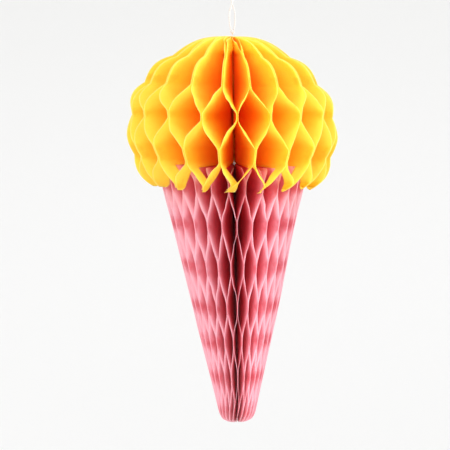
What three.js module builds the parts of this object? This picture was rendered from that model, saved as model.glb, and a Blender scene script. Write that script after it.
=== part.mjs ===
// Hanging paper honeycomb decoration in the shape of an ice cream: a tissue scoop on a tissue cone.
// Millimetres, +Z up. The origin is the hang point, the inner top of the cord's eye.
// The paper fans out round its spine. Its front faces -Y and its seam, between two cards, faces +Y.
// An angle round the spine is measured from the front (-Y) towards +X.

import * as THREE from 'three';

// Driving dimensions
const HANG_TO_PAPER = 92;     // hang point to the top of the paper
const PAPER_HEIGHT = 300;     // top of the scoop to the foot of the cone
const SCOOP_RADIUS = 81.5;
const SCOOP_DEPTH = 98;       // top of the paper to the scoop's underside, near the spine
const RIM_DEPTH = 118;        // top of the paper to the tips of the scoop's hanging rim
const RIM_INNER_RADIUS = 61.5;
const CONE_TOP_DEPTH = 98.8;
const CONE_TOP_RADIUS = 59;
const CONE_FOOT_RADIUS = 13.5;
const CONE_FOOT_ROUNDING = 7;
const LEAF_INNER_RADIUS = 2.5;

const SCOOP_PAIRS = 18;       // pairs of bonded leaves, 36 leaves
const CONE_PAIRS = 26;        // 52 leaves
const SCOOP_PAIR_DEGREES = 0.25;
const CONE_PAIR_DEGREES = 0.17;
const CARD_DEGREES = 0.5;
const CARD_PLACE = 179.5;     // angle of each card's middle
const CARD_INSET = 1;         // cards stop short of the paper's edge
const TAB_PLACE = 179.97;
const TAB_DEGREES = 0.34;

const STRAND_RADIUS = 0.65;
const STRAND_SPREAD = 0.9;    // half the distance between the loop's two strands
const EYE_HALF_WIDTH = 5.2;
const EYE_LENGTH = 24;
const LOOP_STEPS = 81;        // odd, so that one facet lies level across the top of the eye
const KNOT_RADIUS = 2;
const KNOT_HEIGHT = 2.7;      // knot's centre above the top of the paper
const KNOT_GAP = 0.3;         // clearance between the knot and each cord that leaves it

const SPINE_CORD_RADIUS = 0.6;
const STOPPER_RADIUS = 2.1;
const STOPPER_HALF_LENGTH = 1.6;
const BINDING_INNER_RADIUS = 0.95;
const BINDING_OUTER_RADIUS = 1.7;
const BINDING_END_GAP = 1.5;  // bare cord above and below each binding

// Materials
const paint = (color, roughness) => new THREE.MeshStandardMaterial({ color, roughness, metalness: 0 });
const scoopTissue = paint('#f9a92f', 0.85);
const coneTissue = paint('#e8858c', 0.85);
const whiteCord = paint('#f4f1ec', 0.9);
const gluedFold = paint('#d9895a', 0.8);
const coverCard = paint('#f0a25c', 0.75);
const adhesive = paint('#f7f5ef', 0.6);

function named(name, geometry, material) {
  const mesh = new THREE.Mesh(geometry, material);
  mesh.name = name;
  return mesh;
}

// Outlines in (radius, height), with height 0 at the top of the paper

// The scoop's outer edge, from the spine over the shoulder to the tips of the rim
function traceScoopEdge(shape, inset) {
  const edge = SCOOP_RADIUS - inset;
  shape.moveTo(LEAF_INNER_RADIUS, -0.6 - inset);
  shape.splineThru([
    new THREE.Vector2(0.32 * edge, -3.6 - inset),
    new THREE.Vector2(0.66 * edge, -19 - inset),
    new THREE.Vector2(0.92 * edge, -46),
    new THREE.Vector2(edge, -72),
    new THREE.Vector2(0.94 * edge, -99),
    new THREE.Vector2(0.83 * edge, -RIM_DEPTH),
  ]);
}

// The cone's sloping side and rounded foot, from the end of the path so far to the spine
function traceConeSide(shape, inset) {
  const foot = CONE_FOOT_RADIUS - inset;
  shape.lineTo(foot, -PAPER_HEIGHT + CONE_FOOT_ROUNDING);
  shape.quadraticCurveTo(foot - 1, -PAPER_HEIGHT + inset, foot - CONE_FOOT_ROUNDING, -PAPER_HEIGHT + inset);
  shape.lineTo(LEAF_INNER_RADIUS, -PAPER_HEIGHT + inset);
}

function scoopOutline() {
  const shape = new THREE.Shape();
  traceScoopEdge(shape, 0);
  shape.lineTo(RIM_INNER_RADIUS, -RIM_DEPTH);
  shape.lineTo(RIM_INNER_RADIUS, -SCOOP_DEPTH);
  shape.lineTo(LEAF_INNER_RADIUS, -SCOOP_DEPTH);
  return shape;
}

function coneOutline() {
  const shape = new THREE.Shape();
  shape.moveTo(LEAF_INNER_RADIUS, -CONE_TOP_DEPTH);
  shape.lineTo(CONE_TOP_RADIUS, -CONE_TOP_DEPTH);
  traceConeSide(shape, 0);
  return shape;
}

// Half an ice cream: the card's scoop steps in to its cone below the rim
function cardOutline() {
  const shape = new THREE.Shape();
  traceScoopEdge(shape, CARD_INSET);
  shape.lineTo(CONE_TOP_RADIUS - 5 * CARD_INSET, -RIM_DEPTH);
  traceConeSide(shape, CARD_INSET);
  return shape;
}

function tabOutline(radius, height, width, length) {
  const shape = new THREE.Shape();
  shape.moveTo(radius, height);
  shape.lineTo(radius + width, height);
  shape.lineTo(radius + width, height - length);
  shape.lineTo(radius, height - length);
  return shape;
}

// A sheet that stands on the spine: its thickness is an angle, so neighbouring sheets never meet as they fan
function wedge(outline, degrees, curveSegments = 3) {
  const geometry = new THREE.ExtrudeGeometry(outline, { depth: 1, bevelEnabled: false, curveSegments });
  const point = geometry.attributes.position;
  for (let i = 0; i < point.count; i++) {
    const radius = point.getX(i);
    const height = point.getY(i);
    const angle = THREE.MathUtils.degToRad(degrees * (0.5 - point.getZ(i)));
    point.setXYZ(i, radius * Math.sin(angle), -radius * Math.cos(angle), height);
  }
  return geometry;
}

function sheet(name, geometry, material, place) {
  const mesh = named(name, geometry, material);
  mesh.rotation.z = THREE.MathUtils.degToRad(place);
  return mesh;
}

// Leaf pairs at equal angles all the way round, clear of the seam by half a step
function leafPairs(prefix, count, outline, degrees, material) {
  const group = new THREE.Group();
  const geometry = wedge(outline, degrees);
  for (let i = 0; i < count; i++) {
    const name = `${prefix}_${String(i + 1).padStart(2, '0')}`;
    group.add(sheet(name, geometry, material, (i + 0.5) * 360 / count - 180));
  }
  return group;
}

function coverCards() {
  const group = new THREE.Group();
  const geometry = wedge(cardOutline(), CARD_DEGREES);
  group.add(sheet('right_cover_card', geometry, coverCard, CARD_PLACE));
  group.add(sheet('left_cover_card', geometry, coverCard, -CARD_PLACE));
  return group;
}

// Double-sided tabs that hold the cards together, carried by the right card
function adhesiveTabs() {
  const group = new THREE.Group();
  const tabs = [
    ['scoop_adhesive_tab', 52, -52, 15, 24],
    ['upper_cone_adhesive_tab', 32, -128, 13, 24],
    ['lower_cone_adhesive_tab', 11, -228, 10, 24],
  ];
  for (const [name, radius, height, width, length] of tabs) {
    const outline = tabOutline(radius, height, width, length);
    group.add(sheet(name, wedge(outline, TAB_DEGREES), adhesive, TAB_PLACE));
  }
  return group;
}

// A solid of revolution about the spine
function turned(profile, segments) {
  const geometry = new THREE.LatheGeometry(profile.map(([r, z]) => new THREE.Vector2(r, z)), segments);
  return geometry.rotateX(Math.PI / 2);
}

function binding(name, top, bottom) {
  const profile = [
    [BINDING_INNER_RADIUS, bottom],
    [BINDING_OUTER_RADIUS, bottom],
    [BINDING_OUTER_RADIUS, top],
    [BINDING_INNER_RADIUS, top],
    [BINDING_INNER_RADIUS, bottom],
  ];
  return named(name, turned(profile, 16), gluedFold);
}

// Half a circle or ellipse of profile points, from its lower pole to its upper one
function bulge(radius, halfLength, centre, neck, steps) {
  const points = [];
  const start = Math.asin(neck / radius);
  for (let i = 0; i <= steps; i++) {
    const angle = start + (Math.PI - 2 * start) * i / steps;
    points.push([radius * Math.sin(angle), centre - halfLength * Math.cos(angle)]);
  }
  return points;
}

function topKnot() {
  const round = bulge(KNOT_RADIUS, KNOT_RADIUS, KNOT_HEIGHT, 0.4, 8);
  const profile = [[0, round[0][1]], ...round, [0, round[8][1]]];
  return named('top_knot', turned(profile, 16), whiteCord);
}

// The cord inside the paper, with the stopper knot that carries the scoop's foot and the cone's head
function spineCord() {
  const centre = -(SCOOP_DEPTH + CONE_TOP_DEPTH) / 2;
  const top = KNOT_HEIGHT - KNOT_RADIUS - KNOT_GAP;
  const foot = -PAPER_HEIGHT + BINDING_END_GAP;
  const stopper = bulge(STOPPER_RADIUS, STOPPER_HALF_LENGTH, centre, SPINE_CORD_RADIUS, 6);
  const profile = [
    [0, foot],
    [SPINE_CORD_RADIUS, foot],
    ...stopper,
    [SPINE_CORD_RADIUS, top],
    [0, top],
  ];
  return named('spine_cord', turned(profile, 12), whiteCord);
}

// The doubled cord: two strands rise from the knot side by side and open into an eye
function hangingLoop() {
  const foot = -HANG_TO_PAPER + KNOT_HEIGHT + KNOT_RADIUS + KNOT_GAP;
  const right = [
    [STRAND_SPREAD, foot],
    [STRAND_SPREAD, foot + 22],
    [STRAND_SPREAD, -EYE_LENGTH - 12],
    [0.75 * EYE_HALF_WIDTH, -0.55 * EYE_LENGTH],
    [EYE_HALF_WIDTH, -0.25 * EYE_LENGTH],
    [0.6 * EYE_HALF_WIDTH, -0.045 * EYE_LENGTH],
  ];
  const crown = [0, 0];
  const left = right.map(([x, z]) => [-x, z]).reverse();
  const route = [...right, crown, ...left].map(([x, z]) => new THREE.Vector3(x, 0, z));
  const path = new THREE.CatmullRomCurve3(route);
  path.arcLengthDivisions = 2000;

  // eight sides, two of them flat to the inside and outside of the loop
  const section = new THREE.Shape();
  for (let i = 0; i < 8; i++) {
    const angle = (i + 0.5) * Math.PI / 4;
    const corner = [STRAND_RADIUS * Math.cos(angle), STRAND_RADIUS * Math.sin(angle)];
    if (i === 0) section.moveTo(...corner);
    else section.lineTo(...corner);
  }
  const geometry = new THREE.ExtrudeGeometry(section, { steps: LOOP_STEPS, extrudePath: path });

  // the level facet inside the crown comes down or up to height 0, the hang point
  const crownStart = (LOOP_STEPS - 1) / 2 / LOOP_STEPS;
  const flatDepth = STRAND_RADIUS * Math.cos(Math.PI / 8) * Math.abs(path.getTangentAt(crownStart).x);
  geometry.translate(0, 0, flatDepth - path.getPointAt(crownStart).z);
  return named('hanging_loop', geometry, whiteCord);
}

const decoration = new THREE.Group();
decoration.add(hangingLoop());

const paper = new THREE.Group();
paper.position.z = -HANG_TO_PAPER;
decoration.add(paper);
paper.add(topKnot());
paper.add(spineCord());
paper.add(binding('scoop_spine_binding', -BINDING_END_GAP, -SCOOP_DEPTH + BINDING_END_GAP));
paper.add(binding('cone_spine_binding', -CONE_TOP_DEPTH - BINDING_END_GAP, -PAPER_HEIGHT + BINDING_END_GAP));
paper.add(leafPairs('scoop_leaf_pair', SCOOP_PAIRS, scoopOutline(), SCOOP_PAIR_DEGREES, scoopTissue));
paper.add(leafPairs('cone_leaf_pair', CONE_PAIRS, coneOutline(), CONE_PAIR_DEGREES, coneTissue));
paper.add(coverCards());
paper.add(adhesiveTabs());

export default decoration;
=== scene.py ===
# A tissue honeycomb decoration in the shape of an ice cream, hanging on a cord.
# Shapes are worked out in millimetres and turned into metres when a mesh is made.
# An angle round the spine is measured from the front (-Y) towards +X, as in the CAD model.
# A depth is measured down from the top of the paper.

import math
from types import SimpleNamespace

import bpy
import numpy as np
from mathutils import Matrix, Vector


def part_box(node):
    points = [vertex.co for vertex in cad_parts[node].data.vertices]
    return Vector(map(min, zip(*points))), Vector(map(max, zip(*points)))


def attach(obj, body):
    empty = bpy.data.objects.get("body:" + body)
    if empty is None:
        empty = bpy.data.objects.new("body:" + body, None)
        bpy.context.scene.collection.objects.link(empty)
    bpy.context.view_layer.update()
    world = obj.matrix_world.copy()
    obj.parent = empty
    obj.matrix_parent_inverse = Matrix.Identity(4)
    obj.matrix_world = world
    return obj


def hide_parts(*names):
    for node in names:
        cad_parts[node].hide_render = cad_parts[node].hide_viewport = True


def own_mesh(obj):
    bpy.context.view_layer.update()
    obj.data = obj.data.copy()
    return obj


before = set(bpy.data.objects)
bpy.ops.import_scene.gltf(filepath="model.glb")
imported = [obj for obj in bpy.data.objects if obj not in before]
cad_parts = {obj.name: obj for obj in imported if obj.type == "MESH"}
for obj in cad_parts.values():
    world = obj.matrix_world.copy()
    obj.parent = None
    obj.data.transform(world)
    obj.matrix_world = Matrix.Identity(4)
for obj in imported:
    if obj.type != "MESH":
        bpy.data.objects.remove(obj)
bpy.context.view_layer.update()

METRE = 1000.0                  # millimetres in a metre

SCOOP_PAIRS = sorted(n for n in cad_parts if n.startswith("scoop_leaf_pair"))
CONE_PAIRS = sorted(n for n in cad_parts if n.startswith("cone_leaf_pair"))


def low_and_high(cad_node):
    """The heights in millimetres of a CAD node's lowest and highest points."""
    low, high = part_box(cad_node)
    return low.z * METRE, high.z * METRE


SPINE_GAP = 0.6                 # the leaves start this far below the top of the paper
FOOT_OVERHANG = 0.8             # the cone's tissue ends this far below its CAD leaf pairs
CONE_RISE = 0.2                 # and starts this far above them
UNDERSIDE_GAP = 0.3             # from the scoop's underside down to the cone's top
PAPER_TOP = low_and_high(SCOOP_PAIRS[0])[1] + SPINE_GAP
FOOT_DEPTH = PAPER_TOP - low_and_high(CONE_PAIRS[0])[0] + FOOT_OVERHANG
CONE_TOP_DEPTH = PAPER_TOP - low_and_high(CONE_PAIRS[0])[1] - CONE_RISE
UNDERSIDE_DEPTH = CONE_TOP_DEPTH - UNDERSIDE_GAP

PAPER_THICKNESS = 0.08
GLUE_GAP = 0.1                  # half the distance between two bonded leaves' middles
SPINE_RADIUS = 1.8              # where the leaves start
SPINE_LIGHT_RADIUS = 9.0               # how far out the painted light beside the spine reaches

CARD_THICKNESS = 0.3
CARD_CLEARANCE = 0.17           # from the seam to the middle of a card, at the spine
CARD_SPREAD = 0.004             # and how much further for each millimetre out from the spine


# ---------------------------------------------------------------- meshes

def new_object(name, points, faces, material, smooth=True):
    """A mesh object from points in millimetres."""
    mesh = bpy.data.meshes.new(name)
    mesh.from_pydata((np.asarray(points) / METRE).tolist(), [], faces)
    mesh.polygons.foreach_set("use_smooth", [smooth] * len(mesh.polygons))
    mesh.materials.append(material)
    mesh.update()
    obj = bpy.data.objects.new(name, mesh)
    bpy.context.scene.collection.objects.link(obj)
    return obj


def around_spine(radius, degrees, depth):
    """Points in the model's frame from a radius, an angle from the front and a depth."""
    angle = np.radians(degrees)
    return np.stack([radius * np.sin(angle), -radius * np.cos(angle), PAPER_TOP - depth], axis=-1)


def grid_faces(used):
    """Quads of a grid of points, where every corner is in use."""
    number = np.cumsum(used.ravel()).reshape(used.shape) - 1
    whole = used[:-1, :-1] & used[1:, :-1] & used[:-1, 1:] & used[1:, 1:]
    rows, columns = np.nonzero(whole)
    corners = [
        number[rows, columns],
        number[rows + 1, columns],
        number[rows + 1, columns + 1],
        number[rows, columns + 1],
    ]
    return np.stack(corners, axis=-1).tolist()


def thicken(obj, thickness):
    """Turns a sheet into a closed solid, half of its thickness on each side."""
    sheet = obj.modifiers.new("thickness", "SOLIDIFY")
    sheet.thickness = thickness / METRE
    sheet.offset = 0


def paint_points(obj, name, values):
    """A number for each point, which a material reads by name."""
    attribute = obj.data.attributes.new(name, "FLOAT", "POINT")
    attribute.data.foreach_set("value", np.asarray(values, np.float32).ravel())


def place(obj, body, slot, *cad_nodes):
    """obj rides on a body, and the CAD nodes it stands in for are hidden. slot is not used."""
    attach(obj, body)
    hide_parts(*cad_nodes)


def smooth_waves(seed, count, scale):
    """A smooth wandering curve of about unit size: the sum of a few sines with random phases."""
    random = np.random.default_rng(seed)
    rates = random.uniform(0.6, 2.2, count) / scale
    phases = random.uniform(0, 2 * math.pi, count)

    def curve(x):
        waves = (np.sin(2 * math.pi * rate * x + phase) for rate, phase in zip(rates, phases))
        return sum(waves) / math.sqrt(count)

    return curve


# ---------------------------------------------------------------- materials

def node(tree, kind, **values):
    """A new shader node. A value goes to the input of that name, or else to the node's own setting."""
    made = tree.nodes.new(kind)
    for key, value in values.items():
        if key in made.inputs:
            made.inputs[key].default_value = value
        else:
            setattr(made, key, value)
    return made


def blank_material(name):
    """A new material without nodes, and its node tree."""
    material = bpy.data.materials.new(name)
    material.use_nodes = True
    material.node_tree.nodes.clear()
    return material, material.node_tree


def noise(tree, scale, **values):
    """Noise over the object's own space. The scale is in patches for each metre."""
    made = node(tree, "ShaderNodeTexNoise", Scale=scale, **values)
    tree.links.new(node(tree, "ShaderNodeTexCoord").outputs["Object"], made.inputs["Vector"])
    return made.outputs["Fac"]


def calculate(tree, operation, first, second):
    """The result of a sum, product or the like. Each value is a number or another node's output."""
    made = node(tree, "ShaderNodeMath", operation=operation)
    for socket, value in zip(made.inputs, (first, second)):
        if isinstance(value, (int, float)):
            socket.default_value = value
        else:
            tree.links.new(value, socket)
    return made.outputs[0]


def mix_colour(tree, amount, first, second):
    """first where amount is 0, second where it is 1. Each is a colour or another mix."""
    made = node(tree, "ShaderNodeMix", data_type="RGBA")
    tree.links.new(amount, made.inputs["Factor"])
    for key, value in (("A", first), ("B", second)):
        socket = next(s for s in made.inputs if s.name == key and s.type == "RGBA")
        if isinstance(value, tuple):
            socket.default_value = (*value, 1)
        else:
            tree.links.new(value, socket)
    return next(s for s in made.outputs if s.type == "RGBA")


def painted(tree, name):
    """A number that paint_points gave to the mesh."""
    return node(tree, "ShaderNodeAttribute", attribute_name=name).outputs["Fac"]


def soften(tree, value, low, high):
    """0 below low and 1 above high, smooth in between."""
    made = node(tree, "ShaderNodeMapRange", interpolation_type="SMOOTHSTEP")
    tree.links.new(value, made.inputs["Value"])
    made.inputs["From Min"].default_value = low
    made.inputs["From Max"].default_value = high
    return made.outputs["Result"]


def relief(tree, height, strength, distance):
    """A normal from a height pattern. The distance is in metres."""
    bump = node(tree, "ShaderNodeBump", Strength=strength, Distance=distance)
    tree.links.new(height, bump.inputs["Height"])
    return bump.outputs["Normal"]


def finish_opaque(tree, colour, pattern, strength, distance, roughness):
    """Finishes a material as a solid surface whose relief and gloss follow one pattern."""
    face = node(tree, "ShaderNodeBsdfPrincipled")
    face.inputs["Specular IOR Level"].default_value = 0.3
    rough = calculate(tree, "ADD", calculate(tree, "MULTIPLY", pattern, 0.2), roughness)
    tree.links.new(colour, face.inputs["Base Color"])
    tree.links.new(relief(tree, pattern, strength, distance), face.inputs["Normal"])
    tree.links.new(rough, face.inputs["Roughness"])
    tree.links.new(face.outputs[0], node(tree, "ShaderNodeOutputMaterial").inputs["Surface"])


SEE_THROUGH = 0.5               # share of the light that goes through a leaf


def tissue_dye(tree, tints, clouds, fibres):
    """The colour of dyed tissue.

    It is cloudy and deepened by painted shade inside the cells. The glue strips are darker, from the
    glue and from painted shade, and painted light makes it lighter beside the spine. It has its own
    tint along the cut edge."""
    formation = calculate(
        tree, "MULTIPLY", soften(tree, clouds, 0.3, 0.7), soften(tree, fibres, 0.25, 0.7),
    )
    dye = mix_colour(tree, formation, tints.plain, tints.cloud)
    # the glue strips darken, partly from the glue and partly as painted shade of the bands at the glue
    # rows
    glue = calculate(tree, "MULTIPLY", painted(tree, "glue"), soften(tree, clouds, 0.2, 0.6))
    glue = calculate(tree, "MULTIPLY", glue, tints.glue_strength)
    # painted shade: the colour deepens away from the cut edge, into the cells
    deep = calculate(tree, "MAXIMUM", painted(tree, "cell_shade"), glue)
    dye = mix_colour(tree, deep, dye, tints.deep)
    # painted light: lighter beside the spine, easing the shadow of the gap there
    dye = mix_colour(tree, painted(tree, "core"), dye, tints.core)
    cut = calculate(tree, "MULTIPLY", painted(tree, "edge"), soften(tree, fibres, 0.05, 0.5))
    return mix_colour(tree, cut, dye, tints.edge)


def tissue(name, tints):
    """Thin dyed tissue with fine crinkles, which lets half of the light through."""
    material, tree = blank_material(name)
    clouds = noise(tree, 85.0, Detail=5.0, Roughness=0.65)
    fibres = noise(tree, 1100.0, Detail=3.0, Roughness=0.7, Distortion=1.8)
    crinkles = noise(tree, 210.0, Detail=4.0, Roughness=0.55, Distortion=0.4)
    dye = tissue_dye(tree, tints, clouds, fibres)
    height = calculate(tree, "ADD", calculate(tree, "MULTIPLY", crinkles, 1.6), fibres)
    normal = relief(tree, height, 0.22, 0.00035)

    face = node(tree, "ShaderNodeBsdfPrincipled")
    face.inputs["Specular IOR Level"].default_value = 0.15
    rough = calculate(tree, "ADD", calculate(tree, "MULTIPLY", fibres, 0.25), 0.62)
    tree.links.new(rough, face.inputs["Roughness"])
    tree.links.new(dye, face.inputs["Base Color"])
    tree.links.new(normal, face.inputs["Normal"])

    # a sheet dyes light once, where it enters, and lets it out as it is on the other side
    leaving = node(tree, "ShaderNodeNewGeometry").outputs["Backfacing"]
    through = node(tree, "ShaderNodeBsdfTranslucent")
    tree.links.new(mix_colour(tree, leaving, dye, (1, 1, 1)), through.inputs["Color"])
    tree.links.new(normal, through.inputs["Normal"])
    both = node(tree, "ShaderNodeMixShader")
    tree.links.new(calculate(tree, "MAXIMUM", leaving, SEE_THROUGH), both.inputs[0])
    tree.links.new(face.outputs[0], both.inputs[1])
    tree.links.new(through.outputs[0], both.inputs[2])
    tree.links.new(both.outputs[0], node(tree, "ShaderNodeOutputMaterial").inputs["Surface"])
    return material


def cotton(name):
    """White cotton thread, greyer between its fibres and a little grimy in places."""
    material, tree = blank_material(name)
    fibres = noise(tree, 3200.0, Detail=4.0, Roughness=0.7, Distortion=0.8)
    grime = noise(tree, 260.0, Detail=3.0)
    colour = mix_colour(tree, soften(tree, fibres, 0.25, 0.75), (0.55, 0.53, 0.51), (0.86, 0.85, 0.82))
    colour = mix_colour(tree, soften(tree, grime, 0.55, 0.85), colour, (0.72, 0.69, 0.64))
    finish_opaque(tree, colour, fibres, 0.5, 0.0001, 0.7)
    return material


def folded_tissue(name, dry_colour, glued_colour):
    """Creased tissue folds, darker where glue soaked in."""
    material, tree = blank_material(name)
    fibres = noise(tree, 1400.0, Detail=4.0, Roughness=0.7)
    spread = noise(tree, 240.0, Detail=3.0, Distortion=0.6)
    colour = mix_colour(tree, soften(tree, spread, 0.4, 0.65), dry_colour, glued_colour)
    finish_opaque(tree, colour, fibres, 0.4, 0.00015, 0.55)
    return material


def card_board(name, scoop_colour, cone_colour, bare_colour):
    """Card dyed like the tissue it carries, with a paper grain and a bare, lighter cut edge."""
    material, tree = blank_material(name)
    grain = noise(tree, 1500.0, Detail=5.0, Roughness=0.7)
    patches = noise(tree, 60.0, Detail=3.0)
    colour = mix_colour(tree, soften(tree, painted(tree, "scoop"), -0.2, 0.2), cone_colour, scoop_colour)
    paler = calculate(tree, "MULTIPLY", soften(tree, patches, 0.35, 0.8), 0.15)
    colour = mix_colour(tree, paler, colour, bare_colour)
    worn = calculate(tree, "MULTIPLY", painted(tree, "edge"), soften(tree, grain, 0.3, 0.6))
    colour = mix_colour(tree, worn, colour, bare_colour)
    finish_opaque(tree, colour, grain, 0.3, 0.00012, 0.5)
    return material


def foam_tape(name):
    """Closed-cell foam with fine pores."""
    material, tree = blank_material(name)
    pores = node(tree, "ShaderNodeTexVoronoi", Scale=2600.0)
    tree.links.new(node(tree, "ShaderNodeTexCoord").outputs["Object"], pores.inputs["Vector"])
    cells = soften(tree, pores.outputs["Distance"], 0.05, 0.6)
    colour = mix_colour(tree, cells, (0.33, 0.315, 0.28), (0.53, 0.515, 0.48))
    finish_opaque(tree, colour, cells, 0.6, 0.00015, 0.6)
    return material


def studio_paper(name):
    """The matt paper of the floor and backdrop, with painted shade that greys it a little up the
    backdrop.
    """
    material, tree = blank_material(name)
    grain = noise(tree, 300.0, Detail=2.0)
    split = node(tree, "ShaderNodeSeparateXYZ")
    tree.links.new(node(tree, "ShaderNodeTexCoord").outputs["Object"], split.inputs[0])
    colour = mix_colour(tree, grain, (0.92, 0.92, 0.92), (0.905, 0.905, 0.9))
    # painted shade: greyer higher up the backdrop
    colour = mix_colour(tree, soften(tree, split.outputs["Z"], -0.6, 0.3), colour, (0.85, 0.85, 0.84))
    finish_opaque(tree, colour, grain, 0.03, 0.0002, 0.8)
    return material


# ---------------------------------------------------------------- shape of a leaf

def settle(share, straight):
    """0 to 1 along a free stretch of leaf. What isn't straight is rounded off towards both ends."""
    share = np.clip(share, 0, 1)
    return straight * share + (1 - straight) * share * share * (3 - 2 * share)


def swerve(depth, strips, straight):
    """How far a leaf is from its pair's plane (0) towards the next plane (1) at each depth.

    strips are the glue strips (top, bottom, side), from the top down."""
    value = np.full(depth.shape, float(strips[0][2]))
    for (_, leave, side), (arrive, _, next_side) in zip(strips, strips[1:]):
        share = settle((depth - leave) / (arrive - leave), straight)
        value = np.where(depth >= leave, side + (next_side - side) * share, value)
    return value


GLUE_FADE = 6.0                 # distance over which a glue strip's colour and painted shade fade out
GLUE_AT_EDGE = 0.55             # and how strong it is at the edge of the strip


def glue_bands(depth, strips):
    """1 on the glue strips, 0 between, with a soft change; it carries glue and painted shade."""
    value = np.zeros(depth.shape)
    for top, bottom, _ in strips:
        outside = np.maximum(top - depth, depth - bottom)
        value = np.maximum(value, np.clip(GLUE_AT_EDGE - outside / GLUE_FADE, 0, 1))
    return value


STOPPER_RISE = 0.2              # from the cone's top to the middle of the stopper knot
STOPPER_HOLLOW = 1.2            # the paper steps back this far from the stopper knot
HOLLOW_RADIUS = 4.0             # and over about this distance from the spine


def hollow(radius):
    """How far the scoop's underside and the cone's top step back, round the stopper knot."""
    return STOPPER_HOLLOW * np.exp(-((radius - SPINE_RADIUS) / HOLLOW_RADIUS) ** 2)


# notches of the scoop's scalloped edge: (radius, depth), from the spine to the tip of the rim
SCOOP_NOTCHES = [
    (SPINE_RADIUS, SPINE_GAP), (45.5, 16), (67.3, 36.8), (78, 62), (75.6, 92.5), (62, 116.5),
]
LOBE_BULGES = [5.2, 4.6, 5.6, 4.6, 4.4]
LOBE_ROUNDNESS = 0.95           # power of the lobes' half sine: a higher one makes softer notches
RIM_INNER = 61.5                # inner edge of the hanging rim, at its top
RIM_DRAW_IN = 5.0               # how far that edge comes in towards the tip
RIM_COLUMNS = 14
TIP_START = 0.699               # share of the rim's drop where its tip starts to round off
TIP_LENGTH = 0.3                # and over which share of the drop it does
EDGE_STEP = 1.5                 # distance between grid rows along the edge
# glue strips: (top, bottom, side), where side is 0 on a pair's own plane and 1 on the next plane
SCOOP_STRIPS = [(14, 37, 0), (57, 62, 1), (83.5, 95, 0), (111.5, 117.5, 1)]
SCOOP_STRAIGHT = 0.72           # share of a free stretch's course that is straight
FIRST_VISIBLE_GLUE = 30         # above this depth neither the glue nor its painted shade shows
CROWN_RADIUS = 26.0             # the leaves all meet within this radius at the top
CROWN_GAPE = 0.24               # how far a pair gapes above its first glue strip
SCOOP_SHADE_REACH = 21.0          # distance from the edge over which the painted shade deepens the colour


def scalloped_edge():
    """The scoop's edge as an array of (radius, depth), and each point's place: lobe number plus share."""
    points, shares = [], []
    for lobe, bulge in enumerate(LOBE_BULGES):
        start = np.array(SCOOP_NOTCHES[lobe], float)
        chord = np.array(SCOOP_NOTCHES[lobe + 1], float) - start
        out = np.array([chord[1], -chord[0]]) / np.linalg.norm(chord)
        count = round(np.linalg.norm(chord) / EDGE_STEP)
        for share in np.arange(count) / count:
            swell = bulge * math.sin(math.pi * share) ** LOBE_ROUNDNESS
            points.append(start + chord * share + out * swell)
            shares.append(lobe + share)
    points.append(np.array(SCOOP_NOTCHES[-1], float))
    shares.append(len(LOBE_BULGES))
    return np.array(points), np.array(shares)


def rim_outline(edge, drop):
    """The rim's inner and outer radius at each share of its drop. Its tip is rounded."""
    outer = edge[:, :1]
    tip = edge[-1, 0] - 0.35 * RIM_DRAW_IN
    into_tip = np.clip((drop - TIP_START) / TIP_LENGTH, 0, 1)
    inner = tip - (tip - RIM_INNER + RIM_DRAW_IN * drop) * np.sqrt(1 - 0.96 * into_tip ** 2)
    return inner, outer


def top_swerve(radius, depth, share):
    """The least swerve above the first strip.

    A pair gapes a little there, and at the top it meets the pairs on both sides of it."""
    crown = np.exp(-(radius / CROWN_RADIUS) ** 5)
    gape = CROWN_GAPE * np.clip(1 - share, 0, 1)[:, None] ** 0.6
    return np.maximum(crown, gape) * np.clip((SCOOP_STRIPS[0][0] - depth) / 4, 0, 1)


def scoop_leaf():
    """The grid of one scoop leaf, laid out flat.

    Rows run from the top round to the rim's tip, and columns from the spine outwards."""
    edge, share = scalloped_edge()
    rows = np.arange(len(edge))
    foot_row = np.argmin(np.abs(edge[:, 1] - UNDERSIDE_DEPTH) + 100 * (share < 4))
    edge[foot_row, 1] = UNDERSIDE_DEPTH
    split = (RIM_INNER - SPINE_RADIUS) / (edge[foot_row, 0] - SPINE_RADIUS)
    out = 1 - np.linspace(1, 0, RIM_COLUMNS) ** 1.35
    inner_columns = np.linspace(0, split, 13)[:-1]
    across = np.concatenate([inner_columns, split + out * (1 - split)])

    # the rows fan out from the spine to the edge
    spine_depth = np.interp(rows, [0, foot_row], [SPINE_GAP, UNDERSIDE_DEPTH])[:, None]
    radius = SPINE_RADIUS + (edge[:, :1] - SPINE_RADIUS) * across
    depth = spine_depth + (edge[:, 1:] - spine_depth) * across
    depth -= hollow(radius) * np.clip(depth / UNDERSIDE_DEPTH * 5 - 4, 0, 1)
    to_edge = edge[:, :1] - radius

    # the hanging rim is a ribbon below the underside
    below = rows > foot_row
    rim = len(inner_columns)
    rim_height = edge[-1, 1] - UNDERSIDE_DEPTH
    fall = np.zeros(radius.shape)
    fall[below] = ((edge[below, 1] - UNDERSIDE_DEPTH) / rim_height)[:, None]
    drop = fall[below, rim:]
    inner, outer = rim_outline(edge[below], drop)
    radius[below, rim:] = inner + (outer - inner) * out
    depth[below, rim:] = UNDERSIDE_DEPTH + rim_height * drop
    to_edge[below, rim:] = (outer - inner) * np.minimum(out, 1 - out)
    used = np.ones(radius.shape, bool)
    used[below, :rim] = False

    swerved = swerve(depth, SCOOP_STRIPS, SCOOP_STRAIGHT)
    return SimpleNamespace(
        radius=radius,
        depth=depth,
        swerve=np.maximum(swerved, top_swerve(radius, depth, share)),
        to_edge=to_edge,
        glue=glue_bands(depth, SCOOP_STRIPS) * (depth > FIRST_VISIBLE_GLUE),
        # painted shade, deeper further in from the edge
        cell_shade=1 - np.exp(-(to_edge / SCOOP_SHADE_REACH) ** 1.2),
        fall=fall,
        rim_side=np.append(np.zeros(rim), 2 * out - 1) * (fall > 0),
        used=used,
    )


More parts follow.
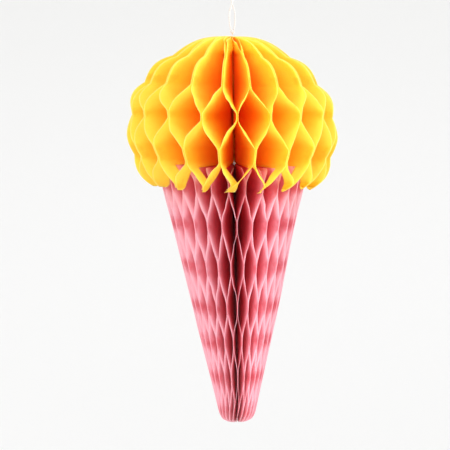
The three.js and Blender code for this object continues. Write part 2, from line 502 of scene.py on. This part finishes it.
CONE_STRIPS = [
    (76, 88, 1), (110, 119, 0), (140, 148.5, 1), (172, 181.5, 0),
    (204, 212.5, 1), (231.5, 240, 0), (260.5, 269, 1), (288.5, 296.5, 0), (320, 324, 1),
]
CONE_STEP = 1.8                 # distance between grid rows
CONE_TOP_RADIUS = 58.8
CONE_TOP_ROUNDING = 4.0
CONE_TOP_DRAW_IN = 2.5
CONE_FOOT_RADIUS = 14.7
FOOT_ROUNDING = 8.0             # height of the foot's rounded corner
FOOT_DRAW_IN = 4.8              # and how far it comes in
CONE_SHADE_REACH = 7.5            # distance from the edge over which the painted shade deepens the colour


def cone_edge(depth):
    """The cone's radius at a depth, with its foot and its top corner rounded."""
    slope = (CONE_TOP_RADIUS - CONE_FOOT_RADIUS) / (FOOT_DEPTH - FOOT_ROUNDING - CONE_TOP_DEPTH)
    into_foot = np.clip((depth - FOOT_DEPTH) / FOOT_ROUNDING + 1, 0, 1)
    into_top = np.clip(1 - (depth - CONE_TOP_DEPTH) / CONE_TOP_ROUNDING, 0, 1)
    rounding = FOOT_DRAW_IN * (1 - np.sqrt(1 - into_foot ** 2)) + CONE_TOP_DRAW_IN * into_top ** 2
    return CONE_TOP_RADIUS - slope * (depth - CONE_TOP_DEPTH) - rounding


def cone_leaf():
    """The grid of one cone leaf, laid out flat: rows run from the top down, columns outwards."""
    rows = round((FOOT_DEPTH - CONE_TOP_DEPTH) / CONE_STEP) + 1
    columns = np.append(np.linspace(0, 0.86, 9), 1 - 0.14 * np.linspace(1, 0, 9)[1:] ** 1.3)
    down = np.linspace(CONE_TOP_DEPTH, FOOT_DEPTH, rows)[:, None]
    edge = cone_edge(down)
    radius = SPINE_RADIUS + (edge - SPINE_RADIUS) * columns
    depth = down + hollow(radius) * np.clip(1 - (down - CONE_TOP_DEPTH) / 20, 0, 1)
    # the cells are crisp at the wide top and softer at the narrow foot
    straight = 0.95 - 0.5 * np.clip((depth - 170) / 110, 0, 1)
    return SimpleNamespace(
        radius=radius,
        depth=depth,
        swerve=swerve(depth, CONE_STRIPS, straight),
        to_edge=edge - radius,
        glue=glue_bands(depth, CONE_STRIPS),
        # painted shade, deeper further in from the edge
        cell_shade=1 - np.exp(-((edge - radius) / CONE_SHADE_REACH) ** 1.4),
        fall=np.zeros(radius.shape),
        rim_side=np.zeros(radius.shape),
        used=np.ones(radius.shape, bool),
    )


FOOT_TURN = 14.0                # degrees that the front of the foot is turned by
FOOT_TURN_HEIGHT = 26.0


def wander(degrees, radius, depth):
    """How the whole honeycomb departs from a true one: (degrees, share of the radius, depth).

    It is the same for the scoop and the cone, so that the two stay together."""
    sideways = np.sin(np.radians(degrees))
    turn = 0.4 * smooth_waves(7, 3, 150.0)(degrees + 0.35 * depth)
    lift = smooth_waves(8, 3, 120.0)(degrees + 0.2 * depth)
    swell = smooth_waves(9, 3, 130.0)(degrees - 0.6 * depth)

    # the front leaves crowd together at the top, and the foot is turned a little
    turn = turn + (0.3 - 1.7 * np.tanh(degrees / 12)) * np.clip((75 - depth) / 45, 0, 1)
    turn = turn - FOOT_TURN * np.clip((depth - FOOT_DEPTH) / FOOT_TURN_HEIGHT + 1, 0, 1) ** 2
    # the scoop is a little fuller on its left, and hangs lower on its right
    lopsided = 0.02 * sideways * np.clip(1.3 - depth / 230, 0, 1)
    sag = 0.03 * radius * sideways * np.clip((170 - depth) / 50, 0, 1)
    return (
        turn * np.cos(np.radians(degrees) / 2) ** 2,
        0.010 * swell - lopsided,
        lift * radius / 80 - sag,
    )


def card_middle(radius):
    """Distance from the seam to the middle of a card's thickness."""
    return CARD_CLEARANCE + CARD_SPREAD * radius


def lip_curl(leaf, side, seed, kind):
    """How far a leaf stands aside from its swerving course, in millimetres.

    Every lip curls the same way round, more or less, and bonded lips part a little."""
    free = 4 * leaf.swerve * (1 - leaf.swerve)
    out = np.clip(1 - leaf.to_edge / kind.lip, 0, 1) ** 1.7
    out = np.where(leaf.fall > 0, leaf.rim_side.clip(0, 1) ** 1.7, out)
    own_curl = smooth_waves(seed, 3, 65.0)(leaf.depth)
    bow = smooth_waves(seed + 300, 3, 36.0)(leaf.depth)
    ripple = smooth_waves(seed + 600, 4, 16.0)(leaf.depth + 0.4 * leaf.radius)
    sideways = out * kind.curl * (0.5 * own_curl * free - 0.35 - 0.55 * free)
    sideways += side * out * 0.08 * kind.lip * (1 - 2 * leaf.swerve)
    return sideways + free * leaf.radius / 60 * (0.5 * bow + 0.14 * ripple)


def rim_twist(leaf, tip_degrees, seed):
    """How far the rim's ribbons twist, and their bonded tips hook round together, in millimetres."""
    hook = 5.5 + 1.5 * smooth_waves(11, 3, 50.0)(tip_degrees)
    tip_twist = 2.2 + 1.2 * smooth_waves(12, 3, 60.0)(tip_degrees)
    twist = np.random.default_rng(seed).uniform(-0.6, 0.9)
    turned = twist * np.sin(np.pi * leaf.fall ** 0.8) + tip_twist * leaf.fall ** 2
    return hook * leaf.fall ** 4 + leaf.rim_side * turned


def leaf_points(leaf, place_degrees, side, spacing, seed, kind):
    """Where a leaf's grid goes. It starts on its pair's plane and swerves to the next plane and back."""
    sideways = lip_curl(leaf, side, seed, kind) - rim_twist(leaf, place_degrees + side * spacing, seed)
    glue_gap = np.degrees(GLUE_GAP * (1 - 2 * leaf.swerve) / leaf.radius)
    angle = place_degrees + side * (spacing * leaf.swerve + glue_gap)
    turn, swell, lift = wander(angle, leaf.radius, leaf.depth)
    angle = angle + turn + np.degrees(sideways / leaf.radius)
    # leaves next to the seam lie against the cards
    beside_card = card_middle(leaf.radius) + CARD_THICKNESS / 2 + 0.1
    limit = 180 - np.degrees(beside_card / leaf.radius)
    return around_spine(leaf.radius * (1 + swell), np.clip(angle, -limit, limit), leaf.depth - lift)


def make_leaf(name, leaf, points, side, material, edge_width):
    # one of the two ribbons that meet at a tip stops short of it
    used = leaf.used & (leaf.fall * side < 0.9)
    obj = new_object(name, points[used], grid_faces(used), material)
    paint_points(obj, "edge", np.clip(1 - leaf.to_edge / edge_width, 0, 1)[used])
    # painted shade, deeper further in from the edge
    paint_points(obj, "cell_shade", np.clip(leaf.cell_shade, 0, 1)[used])
    # the glue's darker colour and painted shade on the glue strips
    paint_points(obj, "glue", leaf.glue[used])
    # painted light beside the spine
    paint_points(obj, "core", np.exp(-((leaf.radius - SPINE_RADIUS) / SPINE_LIGHT_RADIUS) ** 2)[used])
    thicken(obj, PAPER_THICKNESS)
    return obj


def make_leaves(pairs, prefix, leaf, material, kind):
    """Two leaves for each CAD pair, which ride on the pair's body."""
    spacing = 180 / len(pairs)
    for i, pair in enumerate(pairs):
        place_degrees = (2 * i + 1) * spacing - 180
        for number, side in ((2 * i + 1, -1), (2 * i + 2, 1)):
            points = leaf_points(leaf, place_degrees, side, spacing, 1000 + number, kind)
            obj = make_leaf(f"{prefix}_leaf_{number:02d}", leaf, points, side, material, kind.edge_width)
            place(obj, pair, f"{prefix}_tissue", pair)
            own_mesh(obj)


# ---------------------------------------------------------------- cover cards and their tabs

CARD_INSET = 1.0                # from the tissue's edge to the card's
CARD_COLUMNS = 22
CARD_INNER_RADIUS = 4.0
CARD_EDGE_WIDTH = 0.8           # width of the worn strip along the cut edge
TAB_CORNER = 2.5                # corner radius of a foam pad


def card_leaf():
    """The grid of a cover card: half an ice cream, inset from the tissue's edge."""
    edge, share = scalloped_edge()
    along = np.gradient(edge, axis=0)
    along /= np.linalg.norm(along, axis=1)[:, None]
    edge = edge + CARD_INSET * np.stack([-along[:, 1], along[:, 0]], axis=-1)
    edge[0, 0] = CARD_INNER_RADIUS + 0.5
    scoop_spine = np.interp(share, [0, share[-1]], [edge[0, 1] + 0.2, edge[-1, 1]])
    down = np.arange(edge[-1, 1] + 0.3, FOOT_DEPTH - CARD_INSET, CONE_STEP)
    side = np.stack([cone_edge(down + CARD_INSET) - 3 * CARD_INSET, down], axis=-1)
    edge = np.concatenate([edge, side])
    spine_depth = np.append(scoop_spine, down)[:, None]
    across = 1 - np.linspace(1, 0, CARD_COLUMNS) ** 1.4
    radius = CARD_INNER_RADIUS + (edge[:, :1] - CARD_INNER_RADIUS) * across
    depth = spine_depth + (edge[:, 1:] - spine_depth) * across
    in_scoop = np.maximum(UNDERSIDE_DEPTH - depth, radius - cone_edge(depth) - 1)
    return SimpleNamespace(radius=radius, depth=depth, to_edge=edge[:, :1] - radius, in_scoop=in_scoop)


def make_card(side_name, side, material):
    """A cover card beside the seam. side is 1 for the right card and -1 for the left one."""
    leaf = card_leaf()
    _, swell, lift = wander(180 * side, leaf.radius, leaf.depth)
    angle = side * (180 - np.degrees(card_middle(leaf.radius) / leaf.radius))
    points = around_spine(leaf.radius * (1 + np.minimum(swell, 0)), angle, leaf.depth - lift)
    used = np.ones(leaf.radius.shape, bool)
    card = new_object(f"{side_name}_board", points[used], grid_faces(used), material)
    paint_points(card, "edge", np.clip(1 - leaf.to_edge / CARD_EDGE_WIDTH, 0, 1))
    paint_points(card, "scoop", leaf.in_scoop)
    thicken(card, CARD_THICKNESS)
    place(card, f"{side_name}_card", "cover_card", f"{side_name}_cover_card")


def rounded_rectangle(half):
    """Points round a rectangle about the origin, with rounded corners."""
    outline = []
    for quarter, (right, up) in enumerate(((1, 1), (-1, 1), (-1, -1), (1, -1))):
        centre = (half - TAB_CORNER) * (right, up)
        for step in range(7):
            angle = math.pi / 2 * (quarter + step / 6)
            outline.append(centre + TAB_CORNER * np.array([math.cos(angle), math.sin(angle)]))
    return np.array(outline)


def make_tab(cad_node, material):
    """A foam pad between the cards, squeezed at its rim and thinner towards the spine, as the gap is."""
    low, high = (np.array(corner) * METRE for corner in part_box(cad_node))
    outline = rounded_rectangle((high[1:] - low[1:]) / 2)
    rings = []
    for shrink, reach in ((0.92, 1), (0.985, 0.75), (1, 0), (0.985, -0.75), (0.92, -1)):
        ring = (low[1:] + high[1:]) / 2 + outline * shrink
        gap = card_middle(ring[:, 0]) - CARD_THICKNESS / 2 - 0.02
        rings.append(np.stack([gap * reach, ring[:, 0], ring[:, 1]], axis=-1))
    count = len(outline)
    faces = [tuple(range(count)), tuple(range(5 * count - 1, 4 * count - 1, -1))]
    for ring in range(4):
        for i in range(count):
            start, after = ring * count + i, ring * count + (i + 1) % count
            faces.append((start, start + count, after + count, after))
    name = cad_node.replace("adhesive", "foam")
    tab = new_object(name, np.concatenate(rings), faces, material, smooth=False)
    place(tab, "right_card", "adhesive_tab", cad_node)


# ---------------------------------------------------------------- cord, knots and glued folds

PLY_RADIUS = 0.34
PLY_OFFSET = 0.31               # of each ply's middle from the strand's middle
TWIST_PITCH = 3.6
CORD_STEP = 0.32                # distance between rings along a cord
CORD_SIDES = 8


def evenly_spaced(route, step):
    """The same route with points a step apart."""
    gaps = np.linalg.norm(np.diff(route, axis=0), axis=1)
    along = np.append(0, np.cumsum(gaps))
    places = np.linspace(0, along[-1], round(along[-1] / step) + 1)
    return np.stack([np.interp(places, along, route[:, i]) for i in range(3)], axis=-1), places


def across_route(route):
    """Unit vectors across a route, side and up, that turn as little as they can along it."""
    ahead = np.gradient(route, axis=0)
    ahead /= np.linalg.norm(ahead, axis=1)[:, None]
    side = np.cross(ahead[0], (0.3, 0.9, 0.2))
    sides = []
    for direction in ahead:
        side = side - direction * (side @ direction)
        side = side / np.linalg.norm(side)
        sides.append(side)
    sides = np.array(sides)
    return sides, np.cross(ahead, sides)


def tube(route, radius):
    """Points and faces of a round thread along a route, closed at both ends."""
    side, up = across_route(route)
    turn = 2 * math.pi * np.arange(CORD_SIDES) / CORD_SIDES
    ring = side[:, None] * np.cos(turn)[:, None] + up[:, None] * np.sin(turn)[:, None]
    points = (route[:, None] + radius * ring).reshape(-1, 3)
    faces = [tuple(range(CORD_SIDES))[::-1], tuple(range(len(points) - CORD_SIDES, len(points)))]
    for start in range(0, len(points) - CORD_SIDES, CORD_SIDES):
        for i in range(CORD_SIDES):
            after = (i + 1) % CORD_SIDES
            faces.append((start + i, start + after, start + CORD_SIDES + after, start + CORD_SIDES + i))
    return points, faces


def twisted(route, pitch=TWIST_PITCH, scale=1.0):
    """Points and faces of two plies twisted round each other along a route."""
    route, along = evenly_spaced(np.asarray(route, float), CORD_STEP)
    side, up = across_route(route)
    plies = []
    for start in (0, math.pi):
        turn = (2 * math.pi * along / pitch + start)[:, None]
        offset = PLY_OFFSET * scale * (side * np.cos(turn) + up * np.sin(turn))
        plies.append(tube(route + offset, PLY_RADIUS * scale))
    return plies


def make_threads(name, threads, material):
    """One object from several threads' points and faces."""
    points, faces, start = [], [], 0
    for thread_points, thread_faces in threads:
        points.append(thread_points)
        faces += [tuple(start + corner for corner in face) for face in thread_faces]
        start += len(thread_points)
    return new_object(name, np.concatenate(points), faces, material)


def overhand(centre, size, tail):
    """A route up through an overhand knot, with straight tails below and above."""
    t = np.linspace(0.3, 2 * math.pi - 0.3, 90)
    x = np.sin(t) + 2 * np.sin(2 * t)
    y = np.cos(t) - 2 * np.cos(2 * t)
    knot = np.stack([x, y, -1.1 * np.sin(3 * t)], axis=-1)
    ends = np.array([[0, 0, tail]])
    return np.concatenate([-ends, knot * size, ends]) + (0, 0, centre)


# distance of a leg of the loop from the spine: (height above the paper, distance)
LEG_REACH = [
    (3, 0.6), (9, 2.1), (18, 2.2), (25, 0.75), (33, 1.5), (47, 1.5), (55, 0.75), (63, 0.9),
]
EYE_HEIGHT = 24.0
EYE_BULGE = 7.4
KNOT_OVERLAP = 1.4              # the legs start this far inside the knot


def loop_leg():
    """One leg of the hanging loop, from the knot up to the crown of the eye.

    The two legs cross twice, half a turn round each other each time, before they part into the eye."""
    bottom = low_and_high("hanging_loop")[0] - KNOT_OVERLAP
    up = np.linspace(bottom - PAPER_TOP, -EYE_HEIGHT - PAPER_TOP, 240)
    reach = np.interp(up, *zip(*LEG_REACH))
    reach = np.convolve(np.pad(reach, 8, mode="edge"), np.ones(17) / 17, mode="valid")
    turn = math.pi * (settle((up - 17) / 16, 0.3) + settle((up - 48) / 14, 0.3))
    leg = np.stack([reach * np.cos(turn), reach * np.sin(turn), up + PAPER_TOP], axis=-1)

    s = np.linspace(0, math.pi, 90)[1:]
    strand = PLY_RADIUS + PLY_OFFSET
    x = leg[-1, 0] * (1 - s / math.pi) + EYE_BULGE * np.sin(s) * np.sin(s / 2) ** 1.5
    y = leg[-1, 1] * (1 - s / math.pi)
    z = strand - (EYE_HEIGHT + strand) * (1 + np.cos(s)) / 2
    return np.concatenate([leg, np.stack([x, y, z], axis=-1)])


def make_cords(material):
    leg = loop_leg()
    other_leg = (leg * (-1, -1, 1))[::-1]
    loop = make_threads("twisted_hanging_loop", twisted(np.concatenate([leg, other_leg[1:]])), material)
    place(loop, "hanging_loop", "white_cord", "hanging_loop")

    low, high = low_and_high("top_knot")
    knot = make_threads("tied_top_knot", twisted(overhand((low + high) / 2, 0.42, 1.9)), material)
    place(knot, "knot", "white_cord", "top_knot")

    low, high = low_and_high("spine_cord")
    stopper = overhand(PAPER_TOP - CONE_TOP_DEPTH + STOPPER_RISE, 0.3, 2.0)
    route = np.concatenate([[(0, 0, low)], stopper, [(0, 0, high)]])
    spine = make_threads("knotted_spine_cord", twisted(route, scale=0.9), material)
    place(spine, "spine", "white_cord", "spine_cord")


SLEEVE_BORE = 0.98
SLEEVE_RADIUS = 1.3             # between the pleats
PLEAT_HEIGHT = 0.36


def make_binding(cad_node, folds, material):
    """The leaves' glued fold edges: a pleated sleeve round the spine cord."""
    low, high = low_and_high(cad_node)
    around = 8 * folds
    turn = 2 * math.pi * np.arange(around + 1) / around
    heights = np.linspace(low, high, 70)[:, None]
    drift = smooth_waves(21, 4, 40.0)
    pleat = np.abs(np.cos(turn * folds / 2 + 0.25 * drift(heights)))
    outer = SLEEVE_RADIUS + PLEAT_HEIGHT * pleat ** 0.7 + 0.05 * drift(heights + 15 * turn)
    inner = np.full(outer.shape, SLEEVE_BORE)
    taper = np.minimum(1, 0.55 + np.minimum(heights - low, high - heights) / 1.2)
    outer = inner + (outer - inner) * taper
    radius = np.concatenate([inner[:1], outer, inner[::-1]])
    z = np.concatenate([heights[:1], heights, heights[::-1]]) + 0 * turn
    points = np.stack([radius * np.sin(turn), -radius * np.cos(turn), z], axis=-1)
    faces = grid_faces(np.ones(radius.shape, bool))
    binding = new_object(cad_node.replace("binding", "folds"), points.reshape(-1, 3), faces, material)
    weld = binding.modifiers.new("closed sleeve", "WELD")
    weld.merge_threshold = 0.00001
    place(binding, "spine", "glued_fold", cad_node)


# ---------------------------------------------------------------- the decoration

scoop_tints = SimpleNamespace(
    plain=(0.985, 0.855, 0.105),
    cloud=(0.98, 0.81, 0.08),
    # painted shade inside the cells, and on the glue strips
    deep=(0.97, 0.49, 0.035),
    # painted light beside the spine, easing the gap's shadow
    core=(0.98, 0.58, 0.1),
    edge=(0.99, 0.84, 0.22),
    # darkening of the glue strips: partly the glue, partly painted shade
    glue_strength=0.35,
)
cone_tints = SimpleNamespace(
    plain=(0.975, 0.66, 0.73),
    cloud=(0.965, 0.60, 0.67),
    # painted shade inside the cells, and on the glue strips
    deep=(0.80, 0.14, 0.185),
    # painted light beside the spine, easing the gap's shadow
    core=(0.80, 0.46, 0.47),
    edge=(0.96, 0.50, 0.58),
    # darkening of the glue strips: partly the glue, partly painted shade
    glue_strength=0.66,
)
scoop_paper = tissue("scoop tissue", scoop_tints)
cone_paper = tissue("cone tissue", cone_tints)

# how wide a leaf's lip is, how far it curls and how wide its cut edge looks, in millimetres
scoop_kind = SimpleNamespace(lip=8.0, curl=2.5, edge_width=1.0)
cone_kind = SimpleNamespace(lip=2.0, curl=0.3, edge_width=0.5)
make_leaves(SCOOP_PAIRS, "scoop", scoop_leaf(), scoop_paper, scoop_kind)
make_leaves(CONE_PAIRS, "cone", cone_leaf(), cone_paper, cone_kind)

board = card_board("cover board", (0.72, 0.33, 0.035), (0.54, 0.15, 0.18), (0.72, 0.64, 0.54))
make_card("right", 1, board)
make_card("left", -1, board)
foam = foam_tape("foam tape")
for tab_node in sorted(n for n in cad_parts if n.endswith("adhesive_tab")):
    make_tab(tab_node, foam)

make_cords(cotton("white cotton"))
scoop_folds = folded_tissue("scoop folds", (0.99, 0.66, 0.08), (0.98, 0.5, 0.05))
cone_folds = folded_tissue("cone folds", (0.85, 0.38, 0.4), (0.6, 0.2, 0.22))
make_binding("scoop_spine_binding", len(SCOOP_PAIRS), scoop_folds)
make_binding("cone_spine_binding", len(CONE_PAIRS), cone_folds)


# ---------------------------------------------------------------- stage, light and camera

FLOOR_DROP = 0.5                # floor below the foot, in metres


def floor_sweep():
    """A pale floor that curves up into a backdrop."""
    low = (PAPER_TOP - FOOT_DEPTH) / METRE - FLOOR_DROP
    bend, start = 1.2, 1.3
    profile = [(-4.0, low)]
    for i in range(17):
        angle = math.pi / 2 * i / 16
        profile.append((start + bend * math.sin(angle), low + bend * (1 - math.cos(angle))))
    profile.append((start + bend, low + 4.5))
    points = [(x * METRE, y * METRE, z * METRE) for y, z in profile for x in (-4.5, 4.5)]
    faces = [(2 * i, 2 * i + 1, 2 * i + 3, 2 * i + 2) for i in range(len(profile) - 1)]
    new_object("floor_sweep", points, faces, studio_paper("studio paper"))


def area_light(name, location, target, size, spread, power):
    """A softbox. Its spread in degrees is narrow, so that the backdrop stays evenly lit."""
    data = bpy.data.lights.new(name, "AREA")
    data.shape = "RECTANGLE"
    data.size, data.size_y = size
    data.spread = math.radians(spread)
    data.energy = power
    lamp = bpy.data.objects.new(name, data)
    lamp.location = location
    lamp.rotation_euler = (Vector(target) - Vector(location)).to_track_quat("-Z", "Y").to_euler()
    bpy.context.scene.collection.objects.link(lamp)


def light_room():
    world = bpy.data.worlds.new("room")
    world.use_nodes = True
    world.node_tree.nodes["Background"].inputs["Color"].default_value = (1, 1, 1, 1)
    world.node_tree.nodes["Background"].inputs["Strength"].default_value = 0.98
    bpy.context.scene.world = world
    middle = (0, 0, -0.23)      # of the decoration, which each softbox is aimed at
    area_light("front_softbox", (-0.5, -1.8, 0.7), middle, (1.6, 1.6), 70, 3.5)
    area_light("right_softbox", (1.6, -0.5, 0.1), middle, (1.0, 1.6), 60, 6)
    area_light("left_softbox", (-1.6, 0.1, 0.1), middle, (1.0, 1.6), 60, 2.5)


def aim_camera():
    """A long lens a little above the decoration's middle, turned 2 degrees off its front."""
    view_height = 0.350         # height of the view at the decoration
    distance = 1.6
    target = Vector((-0.0076, 0, PAPER_TOP / METRE - 0.1466))
    azimuth, elevation, roll = math.radians(-2.2), math.radians(5.5), math.radians(-0.75)
    direction = Vector((
        math.sin(azimuth) * math.cos(elevation),
        -math.cos(azimuth) * math.cos(elevation),
        math.sin(elevation),
    ))
    data = bpy.data.cameras.new("camera")
    data.sensor_width = 36
    data.lens = 36 * distance / view_height
    camera = bpy.data.objects.new("camera", data)
    camera.location = target + direction * distance
    upright = (-direction).to_track_quat("-Z", "Y").to_matrix()
    camera.rotation_euler = (upright @ Matrix.Rotation(roll, 3, "Z")).to_euler()
    bpy.context.scene.collection.objects.link(camera)
    bpy.context.scene.camera = camera


floor_sweep()
light_room()
aim_camera()
bpy.context.scene.view_settings.view_transform = "Standard"
bpy.context.scene.cycles.max_bounces = 64
bpy.context.scene.cycles.diffuse_bounces = 64
bpy.context.scene.cycles.transmission_bounces = 64
